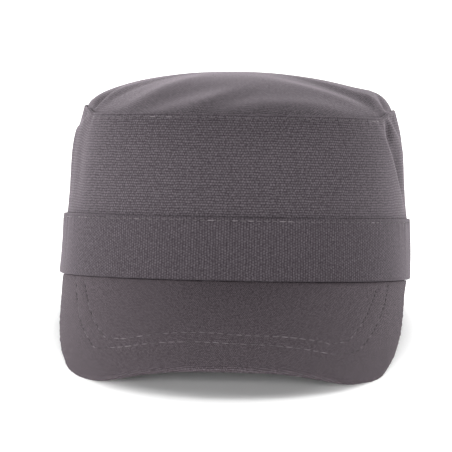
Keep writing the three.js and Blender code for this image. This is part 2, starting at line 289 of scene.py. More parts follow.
def seam_height(angle):
    turn = abs(turned(angle))
    for (start, low), (end, high) in zip(TOP_SEAM, TOP_SEAM[1:]):
        if turn <= end:
            return BAND_HEIGHT + CROWN_HEIGHT + SEAM_RISE * mix(low, high, smooth(turn, start, end))


def band_place(angle, share, inset):
    shrink = inset + BAND_LEAN * share
    return oval(BAND_WIDTH / 2 - shrink, BAND_DEPTH / 2 - shrink, BAND_SQUARENESS, angle)


CROWN_FOOT = BAND_HEIGHT - BAND_LAP + CLEARANCE
ARC_PER_DEGREE = math.radians(BAND_WIDTH + BAND_DEPTH) / 4


def crown_folds(angle, free):
    span = CROWN_HEIGHT + SEAM_RISE / 2
    raised = 0
    for fold_angle, up, lean, long, wide, height, steep in CROWN_FOLDS:
        right = turned(angle - fold_angle) * ARC_PER_DEGREE / span
        raised += fold_height(right, free - up, lean, long, wide, height, steep)
    return raised * FOLD_DEPTH


def crown_place(angle, share, inset, over=0):
    """A point of the crown panels; share runs up from their foot, and over is added to its height."""
    seam = seam_height(angle)
    height = mix(CROWN_FOOT, seam, share)
    free = max(0, (height - BAND_HEIGHT) / (seam - BAND_HEIGHT))
    foot = band_place(angle, min(1, height / BAND_HEIGHT), CLOTH + CLEARANCE + inset)
    top = oval(TOP_WIDTH / 2 - inset, TOP_DEPTH / 2 - inset, TOP_SQUARENESS, angle)
    swell = CROWN_BULGE * math.sin(math.pi * free ** BULGE_SHIFT)
    fade = smooth(free, 0, FOLDS_FROM) * (1 - smooth(free, FOLDS_TO, 1))
    top.x += TOP_SHIFT
    place = foot.lerp(top, free)
    length = place.length + swell + crown_folds(angle, free) * fade
    place = place.normalized() * length
    return Vector((place.x, place.y, height + over))


def puckers(angle, below, reach, drift):
    """The small puckers that a row of stitches draws up, unevenly, within its reach."""
    wave = math.sin(2 * math.pi * angle * ARC_PER_DEGREE / PUCKER_SPACING + 2 * math.sin(angle / drift))
    fade = math.exp(-((below / reach) ** 2)) * smooth(below, PUCKERS_FROM, PUCKERS_FULL)
    return PUCKER_DEPTH * wave * fade


def crown_detail(angle, share):
    """What sewing does to the panels' face: the groove and puckers under the seam, and slack."""
    below = (seam_height(angle) - CROWN_FOOT) * (1 - share)
    drawn = groove(below - SEAM_STITCHES_BELOW) + puckers(angle, below, SEAM_PUCKER_REACH, SEAM_PUCKER_DRIFT)
    return drawn + slack(crown_place(angle, share, 0)) * smooth(below, 0, TAUT_AT_SEAM)


# The section of a panel, from its foot up its face, over the turned edge and down inside it, as share of
# the height, inset and how far over the edge. Its rows are closer in the zone of the seam.
EDGE_ROUND = CLOTH / 2
EDGE_STEPS = 6
SEAM_ZONE = 0.88
FACE_ROWS = 42
SEAM_ROWS = 20
INNER_ROWS = 14
crown_section = [(SEAM_ZONE * row / FACE_ROWS, 0, 0) for row in range(FACE_ROWS)]
crown_section += [(mix(SEAM_ZONE, 1, row / SEAM_ROWS), 0, 0) for row in range(SEAM_ROWS)]
for row in range(EDGE_STEPS + 1):
    turn = math.pi * row / EDGE_STEPS
    crown_section.append((1, EDGE_ROUND * (1 - math.cos(turn)), EDGE_ROUND * (math.sin(turn) - 1)))
crown_section += [(1 - row / INNER_ROWS, CLOTH, 0) for row in range(1, INNER_ROWS + 1)]


def path_lengths(points):
    """How far each point lies along the line through them all."""
    lengths = [0]
    for start, end in zip(points, points[1:]):
        lengths.append(lengths[-1] + (Vector(end) - Vector(start)).length)
    return lengths


def cap_piece(bm, name, node, material):
    """Makes a finished mesh one piece of the cap, which dresses a node of the frame."""
    bmesh.ops.recalc_face_normals(bm, faces=bm.faces)
    piece = mesh_object(bm, name, material)
    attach(piece, "root")
    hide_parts(node)


WELD = 1e-6


def sewn_cloth(name, node, material, columns, rows, place, cut):
    """A grid of cloth bent into a closed wall. place(u, row) puts a point in the rim's frame, and
    cut(u, row) gives the same point on the flat cloth, which its weave follows."""
    bm = bmesh.new()
    bmesh.ops.create_grid(bm, x_segments=columns, y_segments=rows, size=0.5)
    weave = bm.loops.layers.uv.new("cut")
    spots = {vert: (vert.co.x + 0.5, round((vert.co.y + 0.5) * rows)) for vert in bm.verts}
    for face in bm.faces:
        face.smooth = True
        for loop in face.loops:
            loop[weave].uv = Vector(cut(*spots[loop.vert])) / 1000
    for vert, (u, row) in spots.items():
        vert.co = laid_down(place(u, row))
    bmesh.ops.remove_doubles(bm, verts=bm.verts, dist=WELD)
    bmesh.ops.dissolve_degenerate(bm, edges=bm.edges, dist=WELD)
    bmesh.ops.holes_fill(bm, edges=bm.edges)
    cap_piece(bm, name, node, material)


def linear(colour):
    """An sRGB hex colour as the linear one that shaders take."""
    shares = [int(colour[i:i + 2], 16) / 255 for i in (1, 3, 5)]
    return [s / 12.92 if s <= 0.04045 else ((s + 0.055) / 1.055) ** 2.4 for s in shares] + [1]


# The weave, in metres on the cut: one bead is a thread where it passes over another.
BEAD_WIDTH = 0.0013
ROW_HEIGHT = 0.00125
THREAD_RELIEF = 0.0002
WANDER = 0.0009
WANDER_SIZE = 0.005
FLECK_SIZE = 0.0011
ROW_UNIT = 0.3  # a row's height in the Brick texture's own unit
WAVE_LENGTH = math.pi / 10  # the length of a Wave texture's band at a scale of 1
DULLEST_BEAD = (0.4, 0.4, 0.4, 1)
BETWEEN_BEADS = (0, 0, 0, 1)
GAP_SHARE = 0.12
ROW_SHARE = 0.2  # how much of the threads' pattern is rows, the rest being beads
FLECK_SHARE = 0.62  # how much of the whole pattern is fleck, the rest being threads
DARK_BELOW = 0.25
LIGHT_ABOVE = 0.7
LOOSE_FIBRES = "#fff0fc"


def woven_cotton(name, dark, light, turn, fineness, relief, fuzz):
    """Woven cotton: rows of beads, staggered from row to row and uneven in tone. turn lays the rows
    across the cut or up it; fineness makes them smaller; relief is how far the threads stand out; fuzz
    is how much light the loose fibres catch at a glancing angle."""
    material, tree = empty_material(name)
    cut = shader_node(tree, "ShaderNodeUVMap", uv_map="cut").outputs[0]
    drift = shader_node(
        tree, "ShaderNodeTexNoise", {"Vector": cut, "Scale": 1 / WANDER_SIZE, "Detail": 3},
        noise_dimensions="2D",
    ).outputs["Color"]
    wandering = shader_node(
        tree, "ShaderNodeVectorMath", {0: drift, 1: (WANDER, WANDER, 0), 2: cut}, operation="MULTIPLY_ADD",
    ).outputs[0]
    laid = shader_node(tree, "ShaderNodeMapping", {"Vector": wandering, "Rotation": (0, 0, turn)}).outputs[0]
    beads = shader_node(
        tree, "ShaderNodeTexBrick",
        {
            "Vector": laid, "Color1": DULLEST_BEAD, "Color2": WHITE, "Mortar": BETWEEN_BEADS,
            "Scale": fineness * ROW_UNIT / ROW_HEIGHT, "Row Height": ROW_UNIT,
            "Brick Width": ROW_UNIT * BEAD_WIDTH / ROW_HEIGHT, "Mortar Size": GAP_SHARE, "Mortar Smooth": 1,
        },
    ).outputs["Color"]
    rows = shader_node(
        tree, "ShaderNodeTexWave", {"Vector": laid, "Scale": fineness * WAVE_LENGTH / ROW_HEIGHT},
        bands_direction="Y",
    ).outputs["Fac"]
    threads = shader_node(tree, "ShaderNodeMix", {"Factor": ROW_SHARE, "A": beads, "B": rows}).outputs[0]
    fleck = shader_node(
        tree, "ShaderNodeTexNoise",
        {"Vector": cut, "Scale": fineness / FLECK_SIZE, "Detail": 2, "Roughness": 0.7},
        noise_dimensions="2D",
    ).outputs["Fac"]
    shade = shader_node(tree, "ShaderNodeMix", {"Factor": FLECK_SHARE, "A": threads, "B": fleck}).outputs[0]
    colour = shader_node(tree, "ShaderNodeValToRGB", {"Fac": shade})
    colour.color_ramp.elements[0].position = DARK_BELOW
    colour.color_ramp.elements[0].color = linear(dark)
    colour.color_ramp.elements[1].position = LIGHT_ABOVE
    colour.color_ramp.elements[1].color = linear(light)
    bumps = shader_node(
        tree, "ShaderNodeBump", {"Strength": relief, "Distance": THREAD_RELIEF, "Height": threads},
    ).outputs[0]
    cotton = shader_node(
        tree, "ShaderNodeBsdfPrincipled",
        {
            "Base Color": colour.outputs[0], "Roughness": 0.92, "IOR": 1.5, "Specular IOR Level": 0.1,
            "Sheen Weight": fuzz, "Sheen Roughness": 0.4, "Sheen Tint": linear(LOOSE_FIBRES),
            "Normal": bumps,
        },
    )
    shader_node(tree, "ShaderNodeOutputMaterial", {"Surface": cotton.outputs[0]})
    return material


# Ribbed cotton canvas, piece-dyed grey: matt and a little fuzzy, with ribs 1.25 mm apart that run level
# and read as fine lines of light beads.
crown_canvas = woven_cotton(
    "ribbed cotton canvas, ribs level", dark="#322d31", light="#605a5f",
    turn=0, fineness=1, relief=0.3, fuzz=0.18,
)

crown_line = [crown_place(0, share, inset, over) for share, inset, over in crown_section]
crown_cut = path_lengths(crown_line + crown_line[:1])


def crown_panel(name, node, start, end, columns):
    """One panel between two side seams, which leave a slit as wide as the clearance."""
    slit = CLEARANCE / 2 / math.radians(TOP_WIDTH / 2)

    def place(u, row):
        share, inset, over = crown_section[row % len(crown_section)]
        angle = mix(start + slit, end - slit, u)
        point = crown_place(angle, share, inset, over)
        if inset == 0:
            outward = Vector((point.x, point.y, 0)).normalized()
            point += outward * crown_detail(angle, share)
        return point

    def cut(u, row):
        return (mix(start, end, u) * ARC_PER_DEGREE, crown_cut[row])

    sewn_cloth(name, node, crown_canvas, columns, len(crown_section), place, cut)


FRONT_COLUMNS = 400
BACK_COLUMNS = 320
crown_panel("front_crown_panel", "crown_front", -SIDE_SEAM, SIDE_SEAM, FRONT_COLUMNS)
crown_panel("back_crown_panel", "crown_back", SIDE_SEAM, 360 - SIDE_SEAM, BACK_COLUMNS)

# The top panel: an oval of the same canvas, eased into the seam so that it stands up as a low dome,
# slack enough to crease at the front corners. Its edge is turned down inside the crown panels.
DOME_HEIGHT = 19.3
DOME_FULLNESS = 0.63
FRONT_FULLNESS = 0.95
FRONT_ENDS = 35
SIDE_BEGINS = 75
DOME_BASE = 0.6
TOP_SEAT = 0.4
SEAM_ALLOWANCE = 7
EDGE_SHARPNESS = 24
DOME_FOOT = BAND_HEIGHT + CROWN_HEIGHT + SEAM_RISE * DOME_BASE
# Each fold: place across and back, turn, length, width, how far it stands out, and how much narrower
# it is on its right than on its left. The first ones are the tucks at the front corners.
TOP_FOLDS = [
    (-0.84, -0.46, 31, 0.15, 0.05, 0.2, 0),
    (-0.895, -0.39, 31, 0.17, 0.055, -1.25, 0.5),
    (0.86, -0.42, -12, 0.2, 0.055, 0.3, 0),
    (0.945, -0.33, -14, 0.17, 0.055, -1.2, -0.5),
    (0.92, -0.12, 0, 0.26, 0.12, 0.65, 0),
    (-0.5, -0.58, 44, 0.34, 0.1, 0.3, 0),
    (-0.36, -0.74, 58, 0.3, 0.11, -0.28, 0),
    (-0.16, -0.84, 42, 0.17, 0.08, 0.22, 0),
    (0.02, -0.8, 46, 0.2, 0.1, -0.2, 0),
    (0.34, -0.84, 72, 0.36, 0.1, 0.22, 0),
    (0.62, -0.52, -80, 0.3, 0.11, 0.22, 0),
    (0.5, -0.34, -72, 0.34, 0.14, -0.22, 0),
    (-0.1, 0.4, 70, 0.6, 0.2, -0.25, 0),
    (0.35, 0.6, -60, 0.4, 0.16, 0.22, 0),
]


def dome_place(angle, radius, inset):
    """A point of the dome; radius is 0 in its middle and 1 at the seam."""
    rim = crown_place(angle, 1, CLOTH + CLEARANCE + inset)
    across = rim.x * radius
    back = rim.y * radius
    raised = 0
    for fold_across, fold_back, turn, long, wide, height, steep in TOP_FOLDS:
        right = across / (TOP_WIDTH / 2) - fold_across
        up = (back / (TOP_DEPTH / 2) - fold_back) * TOP_DEPTH / TOP_WIDTH
        raised += fold_height(right, up, turn, long, wide, height, steep)
    fullness = mix(FRONT_FULLNESS, DOME_FULLNESS, smooth(abs(turned(angle)), FRONT_ENDS, SIDE_BEGINS))
    rise = DOME_HEIGHT * (1 - radius ** 2) ** fullness
    base = mix(DOME_FOOT, rim.z, radius ** 2) - TOP_SEAT * radius ** EDGE_SHARPNESS
    relief = raised * FOLD_DEPTH * (1 - radius ** EDGE_SHARPNESS)
    loose = slack((across, back, base)) * (1 - radius ** EDGE_SHARPNESS) if inset == 0 else 0
    return Vector((across, back, base + rise + relief + loose - inset))


# The section of the top panel: from the middle out, down the turned edge, and back inside it. Its rows
# crowd towards the seam.
OUT_ROWS = 70
TUCK_ROWS = 5
BACK_ROWS = 22
CROWDING = 1.7
TOP_COLUMNS = 480
top_section = [("dome", 1 - (1 - row / OUT_ROWS) ** CROWDING, 0) for row in range(OUT_ROWS + 1)]
top_section += [("tuck", row / TUCK_ROWS, 0) for row in range(1, TUCK_ROWS + 1)]
top_section += [("tuck", 1 - row / TUCK_ROWS, CLOTH) for row in range(TUCK_ROWS)]
top_section += [("dome", 1 - (row / BACK_ROWS) ** CROWDING, CLOTH) for row in range(BACK_ROWS + 1)]


def top_place(u, row):
    part, share, inset = top_section[row]
    angle = 360 * u
    if part == "dome":
        return dome_place(angle, share, inset)
    fall = TOP_SEAT + SEAM_ALLOWANCE * share
    return crown_place(angle, 1 - fall / (seam_height(angle) - CROWN_FOOT), CLOTH + CLEARANCE + inset)


def top_cut(u, row):
    part, share, inset = top_section[row]
    spot = oval(TOP_WIDTH / 2, TOP_DEPTH / 2, TOP_SQUARENESS, 360 * u)
    reach = share if part == "dome" else 1 + share * SEAM_ALLOWANCE / (TOP_WIDTH / 2)
    return spot * reach


sewn_cloth(
    "top_panel", "crown_top", crown_canvas, TOP_COLUMNS, len(top_section) - 1,
    top_place, top_cut,
)

# The band: a straight strip of the same canvas, folded double round the cap, with the fold below and
# the ribs upright. It laps over the foot of the crown panels, and is sewn to them by one row of
# stitches close under its upper edge.
BAND_FOLD = CLOTH + CLEARANCE / 2
FOLD_STEPS = 12
FOLD_SHARPNESS = 0.55  # 1 is round, and less is pressed flatter
BAND_STITCHES_BELOW = 1.7
LONG_PUCKERS_FROM = 0.5
LONG_PUCKERS_FULL = 3
BAND_PUCKER_REACH = 4
BAND_PUCKER_DRIFT = 9
BAND_STEADINESS = 0.5  # doubled, it puckers and slackens by this share of what a single cloth does
TAUT_AT_FOLD = 5
# Each pucker: angle, distance below the upper edge, length, width, and how far it stands out.
BAND_PUCKERS = [
    (-78, 0, 22, 1.6, 0.22),
    (-73, 0, 16, 1.4, 0.18),
    (-67, 0, 20, 1.8, -0.16),
    (-60, 0, 12, 1.6, 0.12),
    (64, 0, 12, 1.6, 0.14),
    (71, 0, 18, 1.5, 0.2),
    (76, 0, 14, 1.3, -0.18),
    (81, 0, 20, 1.6, 0.2),
]

# Where the lower edge stands out or draws in: angle, spread in degrees, millimetres.
BAND_EDGE_WAVES = [(-92, 9, 0.9), (92, 9, -1), (-60, 12, 0.25), (45, 14, 0.25)]
BAND_EDGE_REACH = 9

# The section of the band, as inset and height: round the lower fold, up the face, over the upper edge
# and down inside the lap, and down its inner layer.
BAND_COLUMNS = 720
BAND_FACE_ROWS = 26
STITCH_ZONE_ROWS = 12
LAP_ROWS = 3
INNER_LAYER_ROWS = 8
STITCH_ZONE = BAND_HEIGHT - 4
LAP_FOOT = BAND_HEIGHT - BAND_LAP
band_section = []
for row in range(FOLD_STEPS + 1):
    turn = math.pi * row / FOLD_STEPS
    aside = math.copysign(abs(math.cos(turn)) ** FOLD_SHARPNESS, math.cos(turn))
    below = abs(math.sin(turn)) ** FOLD_SHARPNESS
    band_section.append((BAND_FOLD * (1 + aside), BAND_FOLD * (1 - below)))
for row in range(1, BAND_FACE_ROWS + 1):
    band_section.append((0, mix(BAND_FOLD, STITCH_ZONE, row / BAND_FACE_ROWS)))
for row in range(1, STITCH_ZONE_ROWS + 1):
    band_section.append((0, mix(STITCH_ZONE, BAND_HEIGHT - EDGE_ROUND, row / STITCH_ZONE_ROWS)))
for row in range(1, EDGE_STEPS + 1):
    turn = math.pi * row / EDGE_STEPS
    band_section.append((EDGE_ROUND * (1 - math.cos(turn)), BAND_HEIGHT + EDGE_ROUND * (math.sin(turn) - 1)))
for row in range(1, LAP_ROWS + 1):
    band_section.append((CLOTH, mix(BAND_HEIGHT - EDGE_ROUND, LAP_FOOT, row / LAP_ROWS)))
for row in range(INNER_LAYER_ROWS):
    band_section.append((2 * BAND_FOLD, mix(LAP_FOOT, BAND_FOLD, row / INNER_LAYER_ROWS)))
band_cut = path_lengths([(inset, height, 0) for inset, height in band_section + band_section[:1]])


def band_wave(angle, height):
    """How far the soft lower edge stands out from the oval of the rim."""
    raised = 0
    for spot, spread, depth in BAND_EDGE_WAVES:
        raised += depth * math.exp(-((turned(angle - spot) / spread) ** 2))
    return math.exp(-((height / BAND_EDGE_REACH) ** 2)) * raised


def band_detail(angle, height):
    """What the row of stitches does to the band's face: its groove, and long and small puckers."""
    below = BAND_HEIGHT - height
    raised = BAND_STEADINESS * puckers(angle, below, BAND_PUCKER_REACH, BAND_PUCKER_DRIFT)
    for spot, start, long, wide, depth in BAND_PUCKERS:
        aside = turned(angle - spot) * ARC_PER_DEGREE
        fade = smooth(below, LONG_PUCKERS_FROM, LONG_PUCKERS_FULL)
        raised += depth * math.exp(-((aside / wide) ** 2) - ((below - start) / long) ** 2) * fade
    return raised + groove(below - BAND_STITCHES_BELOW)


def band_point(u, row):
    inset, height = band_section[row % len(band_section)]
    angle = 360 * u
    place = band_place(angle, height / BAND_HEIGHT, inset)
    point = Vector((place.x, place.y, height))
    outward = point.xy.normalized().to_3d()
    raised = band_wave(angle, height)
    if inset == 0:
        loose = BAND_STEADINESS * slack(point) * smooth(height, 0, TAUT_AT_FOLD)
        raised += band_detail(angle, height) + loose
    return point + outward * raised


# The same canvas, cut the other way: its ribs stand upright, and its light threads are a little darker than
# the crown's.
band_canvas = woven_cotton(
    "ribbed cotton canvas, ribs upright", dark="#322d31", light="#595358",
    turn=math.pi / 2, fineness=1, relief=0.3, fuzz=0.17,
)
sewn_cloth(
    "folded_band", "band", band_canvas, BAND_COLUMNS, len(band_section), band_point,
    lambda u, row: (360 * u * ARC_PER_DEGREE, band_cut[row]),
)

# The peak: a stiff flat board between two plain cotton covers, bent round the front of the band and
# sewn in under it. Its covers meet in a seam along the edge, and two rows of stitches follow it.
PEAK_SETBACK = 1.3
PEAK_LENGTH = 49.6
PEAK_NARROWING = 2.8
PEAK_SLOPE = math.radians(37)
PEAK_THICKNESS = 3.2
ROOT_WIDTH = BAND_WIDTH / 2 - PEAK_SETBACK
ROOT_DEPTH = BAND_DEPTH / 2 - PEAK_SETBACK
PEAK_HALF_WIDTH = BAND_WIDTH / 2 - PEAK_NARROWING
# Half the outline, from the root to the middle of the front: shares of half width and of reach.
PEAK_OUTLINE = [
    (1, 0), (0.988, 0.12), (0.979, 0.235), (0.966, 0.348), (0.938, 0.489), (0.899, 0.612),
    (0.846, 0.727), (0.768, 0.815), (0.648, 0.9), (0.47, 0.952), (0.216, 0.989), (0, 1),
]
RIGHT_SPREAD = 1  # the peak has spread by this on the wearer's right
SPREAD_FADE = 0.15
# The two rows of stitches, from the wearer's right round to the left: the share of the way along the
# edge, and how far inside it the outer and the inner row run.
PEAK_STITCH_ROWS = [
    (0, 18.2, 24.6), (0.12, 18.2, 24.4), (0.21, 16.8, 23.4), (0.28, 16.3, 23.2), (0.36, 19.9, 25.5),
    (0.46, 19.1, 25.9), (0.53, 17.9, 24.2), (0.6, 17.5, 24.8), (0.7, 16.4, 23.0), (1, 16.2, 23.0),
]
# The seam where the covers meet, on the round of the edge: how deep it draws in, and, as angles round
# the edge, how wide it is and how far it lies below the middle.
EDGE_SEAM_DEPTH = 1.35
EDGE_SEAM_WIDTH = 0.65
EDGE_SEAM_TURN = -1.25
EDGE_PUCKER = 0.6
EDGE_PUCKER_SPACING = 1.6


def root_line(x):
    """Where the peak meets the band: how far back, at a place across."""
    return -ROOT_DEPTH * (1 - min(1, abs(x) / ROOT_WIDTH) ** BAND_SQUARENESS) ** (1 / BAND_SQUARENESS)


root_end = root_line(PEAK_OUTLINE[0][0] * PEAK_HALF_WIDTH)
peak_front = -ROOT_DEPTH - PEAK_SETBACK - PEAK_LENGTH
half_outline = [
    Vector((across * PEAK_HALF_WIDTH, mix(root_end, peak_front, reach))) for across, reach in PEAK_OUTLINE
]
knots = [Vector((-spot.x, spot.y)) for spot in half_outline] + list(reversed(half_outline[:-1]))
for knot, (across, reach) in zip(knots, PEAK_OUTLINE):
    knot.x -= RIGHT_SPREAD * smooth(reach, -SPREAD_FADE, SPREAD_FADE) * smooth(1 - reach, 0, SPREAD_FADE)


def through_knots(position):
    """A point of the smooth curve through the knots, at a position from 0 to their number."""
    index = min(int(position), len(knots) - 2)
    before = knots[max(index - 1, 0)]
    start = knots[index]
    end = knots[index + 1]
    after = knots[min(index + 2, len(knots) - 1)]
    share = position - index
    bend_in = (end - before) / 2
    bend_out = (after - start) / 2
    curve = start + bend_in * share + (3 * (end - start) - 2 * bend_in - bend_out) * share ** 2
    return curve + (2 * (start - end) + bend_in + bend_out) * share ** 3


FINE = 800
STRIDE = 40
fine_outline = [through_knots(step * (len(knots) - 1) / FINE) for step in range(FINE + 1)]
fine_lengths = path_lengths(fine_outline)


def along_outline(share):
    """The point of the outline at a share of its length."""
    wanted = share * fine_lengths[-1]
    low = max(i for i in range(0, FINE, STRIDE) if fine_lengths[i] <= wanted)
    while low < FINE - 1 and fine_lengths[low + 1] <= wanted:
        low += 1
    part = (wanted - fine_lengths[low]) / (fine_lengths[low + 1] - fine_lengths[low])
    return fine_outline[low].lerp(fine_outline[low + 1], part)


# The board is flat before it is bent. Unrolled, a point lies at its arc length across the bend and at
# its distance down the board's straight lines.
SLICES = 400
slice_arc = [0]
for step in range(SLICES):
    near = PEAK_HALF_WIDTH * step / SLICES
    far = PEAK_HALF_WIDTH * (step + 1) / SLICES
    rise = math.sin(PEAK_SLOPE) * (root_line(far) - root_line(near))
    slice_arc.append(slice_arc[-1] + math.hypot(far - near, rise))


def unrolled(spot):
    """A spot of the bent peak, seen from above, on the flat board."""
    position = min(abs(spot.x) / PEAK_HALF_WIDTH * SLICES, SLICES - WELD)
    index = int(position)
    arc = mix(slice_arc[index], slice_arc[index + 1], position - index)
    down = (root_line(spot.x) * math.sin(PEAK_SLOPE) ** 2 - spot.y) / math.cos(PEAK_SLOPE)
    return Vector((math.copysign(arc, spot.x), down))


def rolled(flat):
    """The other way round: a place on the flat board, on the bent peak seen from above."""
    index = max(i for i in range(SLICES) if slice_arc[i] <= abs(flat.x))
    part = min(1, (abs(flat.x) - slice_arc[index]) / (slice_arc[index + 1] - slice_arc[index]))
    x = math.copysign(PEAK_HALF_WIDTH * (index + part) / SLICES, flat.x)
    return Vector((x, root_line(x) * math.sin(PEAK_SLOPE) ** 2 - flat.y * math.cos(PEAK_SLOPE)))


def peak_height(spot):
    """How high the upper face is at a spot: it falls at the same slope from all along the root."""
    return math.tan(PEAK_SLOPE) * (spot.y - root_line(spot.x)) - CLEARANCE


NEARBY = 0.01


def peak_normal(spot):
    ahead = peak_height(Vector((spot.x + NEARBY, spot.y)))
    behind = peak_height(Vector((spot.x - NEARBY, spot.y)))
    return Vector(((behind - ahead) / (2 * NEARBY), -math.tan(PEAK_SLOPE), 1)).normalized()


OUTLINE_STEP = 4
flat_outline = [unrolled(spot) for spot in fine_outline[::OUTLINE_STEP]]


def stitch_rows(share):
    """How far the outer and the inner row run from the edge, at a share of the way along it."""
    for before, after in zip(PEAK_STITCH_ROWS, PEAK_STITCH_ROWS[1:]):
        if share <= after[0]:
            part = smooth(share, before[0], after[0])
            return [mix(before[row], after[row], part) for row in (1, 2)]


RIPPLE_DEPTH = 0.16
RIPPLE_ACROSS = 5
RIPPLE_ALONG = 9
RIPPLE_INSIDE = 4
RIPPLE_WIDTH = 3.5
PUFF_HEIGHT = 0.12
PUFF_WIDTH = 1.8
BOARD_STEADINESS = 0.5  # stretched over the board, the cover slackens by this share
TAUT_AT_EDGE = 6


def peak_detail(spot):
    """What sewing does to the upper cover: the grooves of both rows, the cover puffed up between them,
    ripples near the edge, and slack."""
    flat = unrolled(spot)
    distance, index = min(((flat - edge).length, index) for index, edge in enumerate(flat_outline))
    rows = stitch_rows(index / len(flat_outline))
    drawn = sum(groove(distance - row) for row in rows)
    wave = noise.noise(Vector((flat.x / RIPPLE_ACROSS, flat.y / RIPPLE_ALONG, 0)))
    ripple = RIPPLE_DEPTH * wave * math.exp(-(((distance - RIPPLE_INSIDE) / RIPPLE_WIDTH) ** 2))
    puff = PUFF_HEIGHT * math.exp(-(((distance - sum(rows) / 2) / PUFF_WIDTH) ** 2))
    loose = BOARD_STEADINESS * slack((spot.x, spot.y, 0)) * smooth(distance, 0, TAUT_AT_EDGE)
    return drawn + ripple + puff + loose


# The section of the peak: down its upper face, round the edge, back up its under face, and up behind
# the band, where its covers are sewn to it. On the faces share runs from the edge, 0, to the root, 1,
# and on the round it is the angle.
PEAK_COLUMNS = 360
TOP_FACE_ROWS = 90
ROUND_ROWS = 16
UNDER_FACE_ROWS = 30
TUCK_FOOT = -1
TUCK_HEIGHTS = (1, 3, 4.6)
TUCK_TOP = 5
peak_section = [("upper", 1 - row / TOP_FACE_ROWS, 0) for row in range(TOP_FACE_ROWS)]
peak_section += [("edge", math.pi * (0.5 - row / ROUND_ROWS), 0) for row in range(ROUND_ROWS + 1)]
peak_section += [("under", row / UNDER_FACE_ROWS, 0) for row in range(1, UNDER_FACE_ROWS + 1)]
peak_section += [("tuck", 0, height) for height in (-PEAK_THICKNESS, TUCK_FOOT, *TUCK_HEIGHTS)]
peak_section += [("tuck", CLOTH / 2, height) for height in (TUCK_TOP, *reversed(TUCK_HEIGHTS), -CLEARANCE)]

root_angle = math.degrees(math.atan2(knots[-1].x, -knots[-1].y))
EDGE_CROWDING = 1.15  # the rows of the faces crowd a little towards the edge
ROUND_SHARE = 0.25  # near its ends the peak is short, and its round takes no more than this of it
DETAIL_FADE = 8


def peak_spot(u, part, share):
    """Where a point of the section lies over the outline: its spot, its radius on the round of the
    edge, and the length of the straight line from the edge to the root."""
    edge = along_outline(u)
    root = oval(ROOT_WIDTH, ROOT_DEPTH, BAND_SQUARENESS, mix(-root_angle, root_angle, u))
    run = (root - edge).length
    radius = min(PEAK_THICKNESS / 2, run * ROUND_SHARE)
    inward = radius * (1 - math.cos(share))
    if part != "edge":
        inward = mix(radius, run, share ** EDGE_CROWDING)
    return edge.lerp(root, min(1, inward / run) if run > NEARBY else 0), radius, run


def peak_place(u, row):
    part, share, height = peak_section[row % len(peak_section)]
    if part == "tuck":
        behind = band_place(mix(-root_angle, root_angle, u), 0, 2 * BAND_FOLD + CLEARANCE + CLOTH - share)
        return Vector((behind.x, behind.y, height))
    spot, radius, run = peak_spot(u, part, share)
    fade = smooth(run, 0, DETAIL_FADE)
    if part == "edge":
        along = fine_lengths[-1] * u
        pucker = EDGE_PUCKER * noise.noise(Vector((along / EDGE_PUCKER_SPACING, 0, 0)))
        pucker *= math.cos(share) * smooth(share, EDGE_SEAM_TURN, 0)
        seam = EDGE_SEAM_DEPTH * math.exp(-(((share - EDGE_SEAM_TURN) / EDGE_SEAM_WIDTH) ** 2))
        normal = peak_normal(spot)
        outward = (along_outline(u) - oval(ROOT_WIDTH, ROOT_DEPTH, BAND_SQUARENESS, 0)).normalized()
        depth = PEAK_THICKNESS / 2 * (1 - math.sin(share))
        drawn = (seam - pucker) * fade
        point = Vector((spot.x, spot.y, peak_height(spot))) - normal * (depth + drawn * math.sin(share))
        return point - Vector((outward.x, outward.y, 0)) * drawn * math.cos(share)
    depth = 0 if part == "upper" else PEAK_THICKNESS
    raised = peak_detail(spot) * fade if part == "upper" and share > 0 else 0
    return Vector((spot.x, spot.y, peak_height(spot))) + peak_normal(spot) * (raised - depth)


LOOK_ASIDE = 0.002


def peak_cut(u, row):
    """The covers lie flat over the board, and run on over the round of its edge to the seam."""
    part, share, height = peak_section[row % len(peak_section)]
    if part == "tuck":
        root = oval(ROOT_WIDTH, ROOT_DEPTH, BAND_SQUARENESS, mix(-root_angle, root_angle, u))
        return unrolled(root) - Vector((0, height))
    spot, radius, run = peak_spot(u, part, share)
    if part != "edge":
        return unrolled(spot)
    edge = unrolled(along_outline(u))
    before = unrolled(along_outline(max(0, u - LOOK_ASIDE)))
    ahead = unrolled(along_outline(min(1, u + LOOK_ASIDE))) - before
    outward = Vector((-ahead.y, ahead.x)).normalized()
    return edge + outward * radius * (math.pi / 2 - 1 - abs(share))


# Plain cotton: the same grey, woven finer and flatter than the crown's, so that it shows only a faint
# fleck. Its real threads are too fine to show, and it is drawn with rows of 0.9 mm.
peak_cotton = woven_cotton(
    "plain cotton over the board", dark="#332d31", light="#686065",
    turn=0, fineness=1.35, relief=0.25, fuzz=0.05,
)
sewn_cloth(
    "covered_peak", "peak", peak_cotton, PEAK_COLUMNS, len(peak_section),
    peak_place, peak_cut,
)

# The stitches: lockstitched grey thread, hardly lighter than the cloth, lying in the groove that its
# own pull makes. Each stitch is a slim bead, its ends drawn into the cloth.
THREAD = 0.42
SEAM_STITCH = {"pitch": 4.2, "length": 3.0}
BAND_STITCH = {"pitch": 3.8, "length": 2.7}
PEAK_STITCH = {"pitch": 4.2, "length": 2.8}
SHORTEST = 0.75
LONGEST = 1.25
THREAD_LIFT = 0.05
THREAD_FACES = 6
UNEVENNESS = 3.7

# Cotton thread, dyed with the cloth, with light and shade painted into its colour: most stitches are
# painted in shade, darker than the cloth, and a few are painted with a highlight.
thread_cotton, tree = empty_material("grey cotton thread, painted light and shade")
tone = shader_node(tree, "ShaderNodeAttribute", attribute_name="painted_light").outputs["Fac"]
